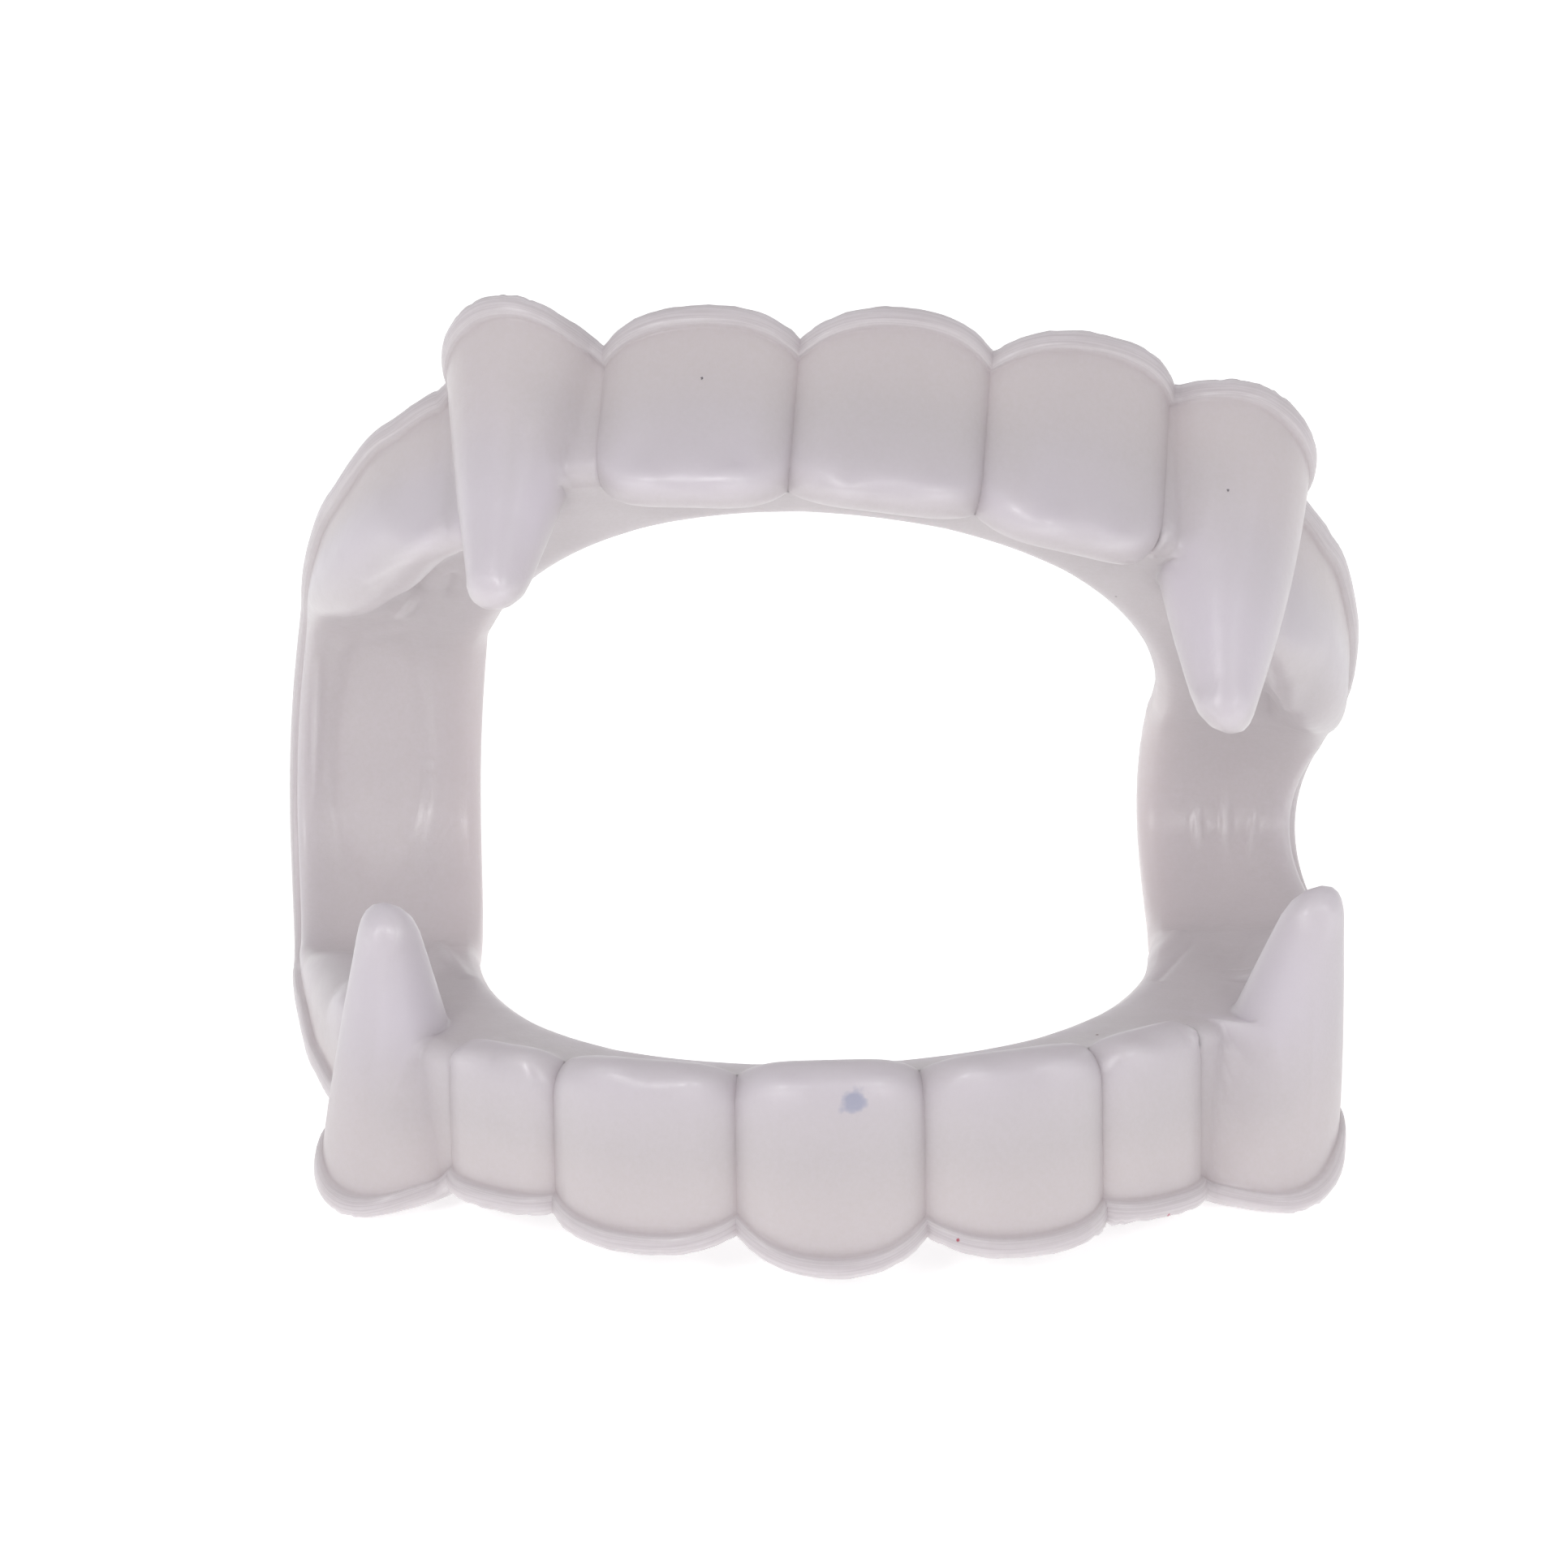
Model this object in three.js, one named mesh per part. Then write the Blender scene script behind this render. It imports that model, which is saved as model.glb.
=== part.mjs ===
import * as THREE from "three";

// Driving dimensions, in millimetres and degrees.
const halfWidth = 28.3; // middle of the set to the outer face of a side
const tongueHalfWidth = 18.4; // middle of the set to its tongue-side face
const wall = 1.1; // thickness of the side walls
const floorThickness = 1.1; // strap and trough floor, from the bite plane
const padThickness = 0.5; // extra floor under the teeth, on the bite side
const notchHeight = 7.9; // bite plane to the rim between two teeth
const toothHeight = 9.2; // bite plane to the rim at the middle of a tooth
const tongueWallHeight = 5.5; // bite plane to the tongue-side rim at the front
const flangeHeight = 1.1; // band along the rim
const flangeStep = 0.45; // how far the band stands out from the teeth
const lipHeight = 0.6; // low lips along the strap edges
const toothBulge = 1.3; // middle of an incisor's face beyond its creases
const crownDrop = 0.8; // incisor edges beyond the bite plane
const crownRound = 1.5; // rounding of the incisor edges
const lobeRound = 2.8; // rounding of the lobes towards the bite side
const crownDepth = 2.6; // face to the back of an incisor's edge
const lobeDepth = 4.5; // face to the back of a lobe's edge
const fangRadius = 4.7; // fang at its rim
const fangTipRadius = 1.6;
const fangLength = 17; // rim to tip of the shortest fang
const edgeDepth = 1.2; // face to the back of the edge where no crown stands out
const edgeRound = 0.4; // rounding of a strap's outer edge
const tongueEdge = 0.5; // bevel from the bite side to the tongue-side face
const troughFillet = 0.4;
const webStep = 0.3; // bite side to the foot of the face beside a fang
const webRise = 0.6; // bite side to the lowest point of a fang's side in its web
const leanStart = 2; // below toothHeight, where a fang starts to lean
const bendRadius = 7.1; // bend centre to the bite side of the straps
const bendShift = 0.5; // straps moved to the right at the middle of their bend
const leftPinch = -0.3; // how far a strap's outer edge runs in at its middle
const rightPinch = 1.4;
const pinchPower = 1.2; // 1 spreads the pinch along the strap, and more gathers it in the middle

// Each arch in the free shape: depth from the bend centre to the outer face at the front, tongueDepth to
// the tongue-side face there, how square each plan is (2 is elliptical), open from the middle plane, turn
// about the upright, roll towards the right end, slant as the rise of its rim from the middle to the right
// end, and shift to the right.
const arches = {
  upper: {
    depth: 27.5,
    square: 2.4,
    tongueDepth: 23.5,
    tongueSquare: 2.05,
    open: 19.3,
    turn: 5.6,
    roll: 6.4,
    slant: 2.7,
    shift: -0.2,
  },
  lower: {
    depth: 27.9,
    square: 2.1,
    tongueDepth: 24,
    tongueSquare: 2.3,
    open: 19.1,
    turn: 1.2,
    roll: -1.5,
    slant: 1.7,
    shift: 0,
  },
};

// Tooth rows on the right half, from the middle: ends as shares of the half arch, sizes as shares of the
// named ones.
const rows = {
  upper: [
    { kind: "incisor", from: -0.111, to: 0.111, rim: 1.02, bulge: 1, crown: 1.4, steps: 8 },
    { kind: "incisor", from: 0.111, to: 0.337, rim: 1, bulge: 1, crown: 2.2, steps: 8 },
    { kind: "fang", from: 0.337, to: 0.56 },
    { kind: "lobe", from: 0.56, to: 1, bulge: 0.4, crown: 3, steps: 8 },
  ],
  lower: [
    { kind: "incisor", from: -0.11, to: 0.11, rim: 1.05, bulge: 1, crown: 1.5, steps: 8 },
    { kind: "incisor", from: 0.11, to: 0.332, rim: 0.97, bulge: 1, crown: 1.3, steps: 8 },
    { kind: "incisor", from: 0.332, to: 0.482, rim: 0.88, bulge: 0.6, crown: 0.9, steps: 6 },
    { kind: "fang", from: 0.482, to: 0.72 },
    { kind: "lobe", from: 0.72, to: 1, bulge: -0.2, crown: 0.8, steps: 6 },
  ],
};
// Each fang: length as a share of fangLength, lean outward in degrees, rim as a share of toothHeight, inset
// of its axis behind the outer plan curve, and taper, which is 1 for a straight cone and less for one that
// stays wide near its rim.
const fangs = {
  upper: {
    left: { length: 0.99, lean: 4, rim: 1, inset: 1, taper: 0.85 },
    right: { length: 1.11, lean: 4, rim: 0.85, inset: 1.2, taper: 0.55 },
  },
  lower: {
    left: { length: 0.98, lean: 2, rim: 0.97, inset: 1, taper: 0.85 },
    right: { length: 1, lean: 15, rim: 0.91, inset: 0.4, taper: 0.85 },
  },
};
// Outer rim behind the incisors: place as a share of the half arch, height as a share of notchHeight.
const rimRuns = {
  upper: [
    { arc: 0.56, rim: 0.8 },
    { arc: 0.65, rim: 0.7 },
    { arc: 0.78, rim: 0.47 },
    { arc: 0.9, rim: 0.3 },
    { arc: 1, rim: 0.23 },
  ],
  lower: [
    { arc: 0.72, rim: 0.66 },
    { arc: 0.82, rim: 0.58 },
    { arc: 0.93, rim: 0.38 },
    { arc: 1, rim: 0.28 },
  ],
};
// Slices through a fang, from its axis outward: shares of the tip radius, then out to its width at the bite
// side, then out to the crease beside it.
const tipSlices = [0, 0.45, 0.8, 1];
const freeSlices = [0.35, 0.75, 0.95];
const rootSlices = [0.15, 0.5, 0.82, 1];
const bendSteps = 10;

const radians = (degrees) => (degrees * Math.PI) / 180;
const mix = (a, b, t) => a + (b - a) * t;
const smooth = (t) => {
  const c = Math.min(1, Math.max(0, t));
  return c * c * (3 - 2 * c);
};

// A plan curve from its front middle to its right end, read by a share of its length; a negative share is the
// left half.
function planCurve(half, depth, power) {
  const count = 2000;
  const points = [];
  const lengths = [0];
  for (let i = 0; i <= count; i++) {
    const angle = (Math.PI / 2) * (i / count);
    const x = half * Math.sin(angle) ** (2 / power);
    const forward = i === count ? 0 : depth * Math.cos(angle) ** (2 / power);
    points.push([x, forward]);
    if (i > 0) {
      lengths.push(lengths[i - 1] + Math.hypot(x - points[i - 1][0], forward - points[i - 1][1]));
    }
  }
  return (share) => {
    const wanted = Math.min(1, Math.abs(share)) * lengths[count];
    let i = lengths.findIndex((length) => length >= wanted);
    i = Math.max(1, i);
    const t = (wanted - lengths[i - 1]) / (lengths[i] - lengths[i - 1]);
    const x = mix(points[i - 1][0], points[i][0], t);
    const forward = mix(points[i - 1][1], points[i][1], t);
    const slopeX = (x / half) ** (power - 1) / half;
    const slopeForward = (forward / depth) ** (power - 1) / depth;
    const size = Math.hypot(slopeX, slopeForward);
    const side = share < 0 ? -1 : 1;
    return {
      x: side * x,
      forward,
      normal: [(side * slopeX) / size, slopeForward / size],
    };
  };
}
const outerCurves = {};
const tongueCurves = {};
Object.entries(arches).forEach(([row, arch]) => {
  outerCurves[row] = planCurve(halfWidth, arch.depth, arch.square);
  tongueCurves[row] = planCurve(tongueHalfWidth, arch.tongueDepth, arch.tongueSquare);
});

// A value read from rows of a table with straight runs between them.
function readRun(run, place) {
  const after = run.findIndex((row) => row.arc >= place);
  if (after === 0) return run[0].rim;
  if (after < 0) return run[run.length - 1].rim;
  const a = run[after - 1];
  const b = run[after];
  return mix(a.rim, b.rim, smooth((place - a.arc) / (b.arc - a.arc)));
}

// Each arch is turned, rolled and shifted as a whole, and the straps share out the difference along their
// length.
function twisted(x, forward, up, amount) {
  const { upper, lower } = arches;
  const turn = radians(mix(lower.turn, upper.turn, amount));
  const roll = radians(mix(lower.roll, upper.roll, amount));
  const shift = mix(lower.shift, upper.shift, amount);
  return new THREE.Vector3(x + shift, -forward, up).applyEuler(new THREE.Euler(0, roll, turn, "ZYX"));
}

// Places a point of an arch: across, forward of the bend, and gumward of the bite plane.
function archPlace(row) {
  const tilt = radians(arches[row].open);
  const sign = row === "upper" ? 1 : -1;
  const amount = row === "upper" ? 1 : 0;
  return (x, forward, gum) => {
    const ahead = forward * Math.cos(tilt) - (bendRadius + gum) * Math.sin(tilt);
    const up = forward * Math.sin(tilt) + (bendRadius + gum) * Math.cos(tilt);
    return twisted(x, ahead, sign * up, amount);
  };
}

function bendPlace(share) {
  const angle = mix(radians(arches.upper.open), Math.PI - radians(arches.lower.open), share);
  const shift = bendShift * Math.sin(Math.PI * share);
  return (x, forward, gum) =>
    twisted(
      x + shift,
      forward - (bendRadius + gum) * Math.sin(angle),
      (bendRadius + gum) * Math.cos(angle),
      1 - smooth(share),
    );
}

// The closed section at one place: face points down to the edge, bite side, tongue wall, trough, and up to
// the rim.
function sectionOf(station) {
  const { place, outer, tongue, rim, tongueRim, bite, face, inside, edge } = station;
  const band = Math.min(flangeHeight, 0.45 * (rim - bite));
  const faceTop = rim - band - 0.25 * band;
  const out = (w, gum) => place(outer.x + outer.normal[0] * w, outer.forward + outer.normal[1] * w, gum);
  const inn = (w, gum) => place(tongue.x + tongue.normal[0] * w, tongue.forward + tongue.normal[1] * w, gum);
  const points = [
    out(face(rim) + flangeStep, rim),
    out(face(rim - band) + flangeStep, rim - band),
    out(face(faceTop), faceTop),
  ];
  edge(faceTop).forEach(([w, gum]) => points.push(out(w, gum)));
  const lastBite = points[points.length - 1];
  const firstTongue = inn(tongueEdge, bite);
  points.push(lastBite.clone().lerp(firstTongue, 0.33));
  points.push(lastBite.clone().lerp(firstTongue, 0.67));
  const room = 0.6 * (Math.min(tongueRim, rim) - floorThickness);
  const fillet = Math.min(troughFillet, room);
  points.push(
    firstTongue,
    inn(0, bite + tongueEdge),
    inn(0, mix(bite + tongueEdge, tongueRim, 0.5)),
    inn(0, tongueRim),
    inn(wall, tongueRim),
    inn(wall, floorThickness + fillet),
    inn(wall + fillet, floorThickness),
  );
  const trough = points[points.length - 1];
  const foot = out(inside(floorThickness) - fillet, floorThickness);
  points.push(trough.clone().lerp(foot, 0.33));
  points.push(trough.clone().lerp(foot, 0.67));
  points.push(foot);
  [0, 0.25, 0.5, 0.75, 1].forEach((t) => {
    const gum = mix(floorThickness + fillet, rim, t);
    points.push(out(inside(gum), gum));
  });
  return points;
}

// Edge points of a tooth with no fang: down its face, round its crown and back to the bite side.
function crownEdge(face, bite, drop, depth, round) {
  const low = bite - drop;
  return (top) => {
    const start = low + round;
    const end = face(start) - round;
    const points = [0.33, 0.67].map((t) => [face(mix(top, start, t)), mix(top, start, t)]);
    [0, 30, 60, 90].forEach((degrees) => {
      const angle = radians(degrees);
      points.push([end + round * Math.cos(angle), start - round * Math.sin(angle)]);
    });
    [0.25, 0.5, 0.75, 1].forEach((t) => {
      points.push([mix(end, -depth, t), mix(low, bite, smooth(t))]);
    });
    return points;
  };
}

// Tongue-side rim: full height behind the front teeth, down to a low lip at the bend.
function tongueRimAt(place) {
  const lip = floorThickness + lipHeight;
  return mix(tongueWallHeight, lip, smooth((Math.abs(place) - 0.35) / 0.6));
}

function biteAt(place) {
  return -padThickness * (1 - smooth((Math.abs(place) - 0.88) / 0.12));
}

function toothStation(row, tooth, side, v) {
  const place = side * mix(tooth.from, tooth.to, (v + 1) / 2);
  const shape = 1 - v ** 4;
  const bite = biteAt(place);
  let rim = mix(notchHeight, toothHeight * tooth.rim, 1 - Math.abs(v) ** 2.2) + arches[row].slant * place;
  let bulge = toothBulge * tooth.bulge * shape;
  let drop = crownDrop * tooth.crown * shape;
  let depth = crownDepth;
  if (tooth.kind === "lobe") {
    const back = (Math.abs(place) - tooth.from) / (tooth.to - tooth.from);
    const shrink = 1 - smooth((back - 0.45) / 0.5);
    rim = Math.max(floorThickness + lipHeight, notchHeight * readRun(rimRuns[row], Math.abs(place)));
    bulge = toothBulge * tooth.bulge * Math.sin(Math.PI * Math.min(1, back));
    drop = crownDrop * tooth.crown * smooth(back / 0.2) * shrink;
    depth = lobeDepth;
  }
  const round = Math.min(tooth.kind === "lobe" ? lobeRound : crownRound, 0.35 * (rim - bite + drop));
  const face = () => bulge;
  return {
    place: archPlace(row),
    outer: outerCurves[row](place),
    tongue: tongueCurves[row](place),
    rim,
    tongueRim: tongueRimAt(place),
    bite,
    face,
    inside: () => bulge - wall,
    edge: crownEdge(face, bite, drop, mix(edgeDepth, depth, shape), round),
  };
}

// Fang radius at a height, its lowest point in a slice beside its axis, and the slices that show its shape.
function fangShape(length, rootRadius, taper) {
  const centre = toothHeight - length + fangTipRadius;
  const span = toothHeight - centre;
  const radius = (gum) => {
    if (gum < centre) return Math.sqrt(Math.max(0, fangTipRadius ** 2 - (centre - gum) ** 2));
    return mix(fangTipRadius, rootRadius, ((gum - centre) / span) ** taper);
  };
  const low = (offset) => {
    const from = Math.abs(offset);
    if (from < fangTipRadius) return centre - Math.sqrt(fangTipRadius ** 2 - from ** 2);
    return centre + span * ((from - fangTipRadius) / (rootRadius - fangTipRadius)) ** (1 / taper);
  };
  const slices = (reach) => {
    const free = radius(-padThickness);
    return [
      ...tipSlices.map((t) => t * fangTipRadius),
      ...freeSlices.map((t) => mix(fangTipRadius, free, t)),
      ...rootSlices.map((t) => mix(free, reach, t)),
    ];
  };
  return { radius, low, slices };
}

// The slices of a fang are parallel, so it stays round where the arch turns.
function fangStations(row, tooth, side) {
  const { length, lean, inset, taper, rim: rimShare } = fangs[row][side < 0 ? "left" : "right"];
  const centre = outerCurves[row](side * mix(tooth.from, tooth.to, 0.5));
  const [nx, nf] = centre.normal;
  const along = (share) => {
    const at = outerCurves[row](share);
    const x = at.x - centre.x;
    const forward = at.forward - centre.forward;
    return { offset: x * nf - forward * nx, depth: x * nx + forward * nf };
  };
  const ends = [side * tooth.from, side * tooth.to].sort((a, b) => a - b);
  const reaches = ends.map((end) => Math.abs(along(end).offset));
  const shape = fangShape(fangLength * length, Math.min(fangRadius, ...reaches), taper);
  const before = shape.slices(reaches[0]).map((offset) => -offset);
  const after = shape.slices(reaches[1]).slice(1);
  const nearRim = notchHeight + arches[row].slant * side * tooth.from;
  const farRim = notchHeight * rimRuns[row][0].rim;
  return [...before.reverse(), ...after].map((offset) => {
    let [low, high] = ends;
    for (let i = 0; i < 40; i++) {
      const half = (low + high) / 2;
      if (along(half).offset < offset) low = half;
      else high = half;
    }
    const place = (low + high) / 2;
    const v = (2 * (Math.abs(place) - tooth.from)) / (tooth.to - tooth.from) - 1;
    const base = along(place).depth;
    const bite = biteAt(place);
    const edgeRim = mix(nearRim, farRim, smooth((v + 1) / 2));
    const rise = toothHeight * rimShare - mix(notchHeight, farRim, 0.5);
    const rim = edgeRim + rise * (1 - Math.abs(v) ** (v > 0 ? 1.7 : 2.4));
    const axis = (gum) => -inset + Math.tan(radians(lean)) * Math.max(0, toothHeight - leanStart - gum);
    const chord = (gum, less) => Math.sqrt(Math.max(0, (shape.radius(gum) - less) ** 2 - offset ** 2));
    const face = (gum) => (chord(gum, 0) > 0 ? Math.max(base, axis(gum) + chord(gum, 0)) : base);
    const hollow = (gum) => (chord(gum, wall) > 0 ? axis(gum) + chord(gum, wall) : -Infinity);
    const inside = (gum) => Math.max(base - wall, hollow(gum));
    const tip = shape.low(offset);
    const free = Math.abs(offset) < shape.radius(bite) - 0.02;
    const edge = (top) => {
      const lowest = free ? tip : Math.min(Math.max(tip, bite + webRise), mix(bite, top, 0.8));
      const points = [1, 2, 3, 4, 5].map((k) => {
        const gum = lowest + (top - lowest) * (1 - k / 5.5) ** 1.5;
        return [face(gum), gum];
      });
      if (free) {
        points.push([axis(tip), tip]);
        [1, 2, 3, 4].forEach((k) => {
          const gum = tip + (bite - tip) * (k / 4) ** 1.5;
          points.push([axis(gum) - chord(gum, 0), gum]);
        });
        return points;
      }
      points.push([base, bite + webStep]);
      [0.15, 0.4, 0.7, 1].forEach((t) => points.push([mix(base, -edgeDepth, t), bite]));
      return points;
    };
    return {
      place: archPlace(row),
      outer: { x: centre.x + nf * offset, forward: centre.forward - nx * offset, normal: [nx, nf] },
      tongue: tongueCurves[row](place),
      rim,
      tongueRim: tongueRimAt(place),
      bite,
      face,
      inside,
      edge,
    };
  });
}

function bendStation(side, share) {
  const pinch = (side < 0 ? leftPinch : rightPinch) * Math.sin(Math.PI * share) ** pinchPower;
  const lip = floorThickness + lipHeight;
  const upperRim = notchHeight * rimRuns.upper[rimRuns.upper.length - 1].rim;
  const lowerRim = notchHeight * rimRuns.lower[rimRuns.lower.length - 1].rim;
  const rim = Math.max(lip, upperRim, mix(lip, lowerRim, smooth((share - 0.6) / 0.4)));
  const face = () => 0;
  return {
    place: bendPlace(share),
    outer: { x: side * (halfWidth - pinch), forward: 0, normal: [side, 0] },
    tongue: { x: side * tongueHalfWidth, forward: 0, normal: [side, 0] },
    rim,
    tongueRim: lip,
    bite: 0,
    face,
    inside: () => -wall,
    edge: crownEdge(face, 0, 0, edgeDepth, edgeRound),
  };
}

// Stations of one arch from its left end to its right end, both ends left out.
function archStations(row) {
  const stations = [];
  const half = rows[row];
  const add = (tooth, side) => {
    if (tooth.kind === "fang") {
      stations.push(...fangStations(row, tooth, side).slice(1));
      return;
    }
    for (let i = 1; i <= tooth.steps; i++) {
      const share = i / tooth.steps;
      const t = tooth.kind === "lobe" ? lobeSpread(share, side) : Math.sin(Math.PI * (share - 0.5));
      stations.push(toothStation(row, tooth, side, side * t));
    }
  };
  half.slice(1).reverse().forEach((tooth) => add(tooth, -1));
  add(half[0], 1);
  half.slice(1).forEach((tooth) => add(tooth, 1));
  stations.pop();
  return stations;
}

function bendStations(side) {
  return Array.from({ length: bendSteps + 1 }, (_, i) => bendStation(side, i / bendSteps));
}

// Stations of a lobe: close together beside the fang, and wider apart towards the strap.
function lobeSpread(t, side) {
  return side > 0 ? 2 * t ** 1.5 - 1 : 1 - 2 * (1 - t) ** 1.5;
}

// Joins the sections into one closed ring of triangles.
function ringGeometry(sections) {
  const size = sections[0].length;
  const index = [];
  sections.forEach((_, i) => {
    const a = i * size;
    const b = ((i + 1) % sections.length) * size;
    for (let j = 0; j < size; j++) {
      const k = (j + 1) % size;
      index.push(a + j, b + k, b + j, a + j, a + k, b + k);
    }
  });
  const geometry = new THREE.BufferGeometry();
  geometry.setFromPoints(sections.flat());
  geometry.setIndex(index);
  return geometry;
}

// The middle of the mass, from the closed mesh.
function massMiddle(geometry) {
  const corners = [new THREE.Vector3(), new THREE.Vector3(), new THREE.Vector3()];
  const positions = geometry.getAttribute("position");
  const index = geometry.getIndex();
  const sum = new THREE.Vector3();
  let volume = 0;
  for (let i = 0; i < index.count; i += 3) {
    corners.forEach((corner, k) => corner.fromBufferAttribute(positions, index.getX(i + k)));
    const [a, b, c] = corners;
    const piece = a.dot(b.clone().cross(c));
    volume += piece;
    sum.addScaledVector(a.clone().add(b).add(c), piece / 4);
  }
  return sum.divideScalar(volume);
}

// The set stands on its straps and lower rim at the tilt where the middle of its mass is lowest.
function restTilt(geometry) {
  const middle = massMiddle(geometry);
  const positions = geometry.getAttribute("position");
  let best = { height: Infinity, tilt: 0 };
  for (let degrees = 5; degrees <= 60; degrees += 0.1) {
    const tilt = radians(degrees);
    const level = (y, z) => z * Math.cos(tilt) - y * Math.sin(tilt);
    let floor = Infinity;
    for (let i = 0; i < positions.count; i++) {
      floor = Math.min(floor, level(positions.getY(i), positions.getZ(i)));
    }
    const height = level(middle.y, middle.z) - floor;
    if (height < best.height) best = { height, tilt };
  }
  return best.tilt;
}

const ring = [
  ...archStations("upper"),
  ...bendStations(1),
  ...archStations("lower").reverse(),
  ...bendStations(-1).reverse(),
];
const geometry = ringGeometry(ring.map(sectionOf));
geometry.rotateX(-restTilt(geometry));
geometry.computeBoundingBox();
const { min, max } = geometry.boundingBox;
geometry.translate(-(min.x + max.x) / 2, -(min.y + max.y) / 2, -min.z);

const plastic = new THREE.MeshStandardMaterial({ color: 0xc2bbc1, roughness: 0.4, metalness: 0 });

const group = new THREE.Group();
const denture = new THREE.Mesh(geometry, plastic);
denture.name = "denture";
group.add(denture);

export default group;
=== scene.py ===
import math
from bisect import bisect_left
from types import SimpleNamespace

import bpy
import numpy as np
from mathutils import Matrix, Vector
from mathutils.bvhtree import BVHTree


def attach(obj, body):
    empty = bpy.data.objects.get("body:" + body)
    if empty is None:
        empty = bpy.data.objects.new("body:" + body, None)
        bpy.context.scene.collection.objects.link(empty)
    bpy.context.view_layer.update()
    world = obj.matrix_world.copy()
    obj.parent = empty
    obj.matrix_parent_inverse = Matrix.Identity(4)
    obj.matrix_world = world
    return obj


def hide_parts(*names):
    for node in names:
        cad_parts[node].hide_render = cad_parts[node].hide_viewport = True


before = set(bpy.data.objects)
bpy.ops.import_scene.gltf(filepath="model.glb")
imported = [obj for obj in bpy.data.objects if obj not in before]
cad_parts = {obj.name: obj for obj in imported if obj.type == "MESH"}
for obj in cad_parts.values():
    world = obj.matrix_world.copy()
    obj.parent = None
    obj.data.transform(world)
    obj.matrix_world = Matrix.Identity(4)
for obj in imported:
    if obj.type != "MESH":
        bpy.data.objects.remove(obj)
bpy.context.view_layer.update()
MM = 0.001  # m

# Sizes in millimetres, as in the part's source, and the finer ones that only the picture shows.
SIZES = SimpleNamespace(
    half_width=28.3,  # middle of the set to the outer face of a side
    tongue_half_width=18.4,  # middle of the set to the tongue-side face of a side
    wall=1.1,
    floor=1.1,
    pad=0.5,  # how far the bite side of the teeth stands proud of the straps
    notch=7.9,  # bite plane to the rim between two teeth
    tooth=9.2,  # bite plane to the rim at the middle of a tooth
    tongue_wall=5.5,  # bite plane to the tongue-side rim behind the front teeth
    flange=1.1,  # height of the band along the rim
    flange_step=0.45,  # how far the band stands out
    lip=0.6,  # rims of the straps over their floor
    bulge=1.3,  # how far a tooth stands out of the arch
    crown_drop=0.8,  # how far an ordinary tooth hangs below the bite plane
    crown_round=1.5,  # rounding of an incisor's edge
    lobe_round=2.8,  # rounding of the lobes towards the bite side
    web_round=1.1,  # rounding of the webs beside the fangs
    crown_depth=2.6,  # face to the back of an incisor's edge
    lobe_depth=4.5,  # face to the back of a lobe's edge
    edge_depth=1.2,  # face to the back of the edge between two teeth
    edge_round=0.4,  # rounding of the straps' edges
    fang_radius=4.7,
    fang_tip_radius=1.6,
    fang_length=17.0,
    lean_start=2.0,  # rim to where a fang starts to lean
    free_reach=0.3,  # how far a fang's slice reaches past the web before it stands free of it
    bend_radius=7.1,
    bend_shift=0.5,  # how far the bends lie to the right of the arches
    left_pinch=-0.3,  # how far a strap's outer edge runs in at its middle
    right_pinch=1.4,
    pinch_power=1.2,  # no length: how closely the pinch keeps to the middle
    fillet=0.4,  # in the corners of the troughs and behind the webs
    tongue_edge=0.5,  # cut off the corner between the bite side and the tongue-side face
    groove=0.07,  # line pressed in under the band along the rim
    ragged_rim=0.025,  # unevenness of the trimmed rims
    ragged_tongue=0.04,
)
# The band along the rim, from the rim down: shares of its height and of its step. The groove and the face
# come under it.
BAND_PROFILE = [(0, 1), (0.4, 1), (0.92, 0.9), (1, 0.5)]
GROOVE_SHARE = 1.06
FACE_SHARE = 1.25

# Each arch: bend centre to the outer and tongue-side faces at the front, how square each plan is (2 is
# elliptical), and its angles from the middle plane, about the upright, and rolled towards its right end.
ARCHES = {
    "upper": {
        "depth": 27.5, "square": 2.4, "tongue_depth": 23.5, "tongue_square": 2.05,
        "open": 19.3, "turn": 5.6, "roll": 6.4, "slant": 2.7, "shift": -0.2,
    },
    "lower": {
        "depth": 27.9, "square": 2.1, "tongue_depth": 24, "tongue_square": 2.3,
        "open": 19.1, "turn": 1.2, "roll": -1.5, "slant": 1.7, "shift": 0,
    },
}
# Tooth rows on the right half, from the middle: ends as shares of the half arch, sizes as shares of the named
# ones.
ROWS = {
    "upper": [
        {"kind": "incisor", "from": -0.111, "to": 0.111, "rim": 1.02, "bulge": 1, "crown": 1.4},
        {"kind": "incisor", "from": 0.111, "to": 0.337, "rim": 1, "bulge": 1, "crown": 2.2},
        {"kind": "fang", "from": 0.337, "to": 0.56},
        {"kind": "lobe", "from": 0.56, "to": 1, "bulge": 0.4, "crown": 3},
    ],
    "lower": [
        {"kind": "incisor", "from": -0.11, "to": 0.11, "rim": 1.05, "bulge": 1, "crown": 1.5},
        {"kind": "incisor", "from": 0.11, "to": 0.332, "rim": 0.97, "bulge": 1, "crown": 1.3},
        {"kind": "incisor", "from": 0.332, "to": 0.482, "rim": 0.88, "bulge": 0.6, "crown": 0.9},
        {"kind": "fang", "from": 0.482, "to": 0.72},
        {"kind": "lobe", "from": 0.72, "to": 1, "bulge": -0.2, "crown": 0.8},
    ],
}
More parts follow.
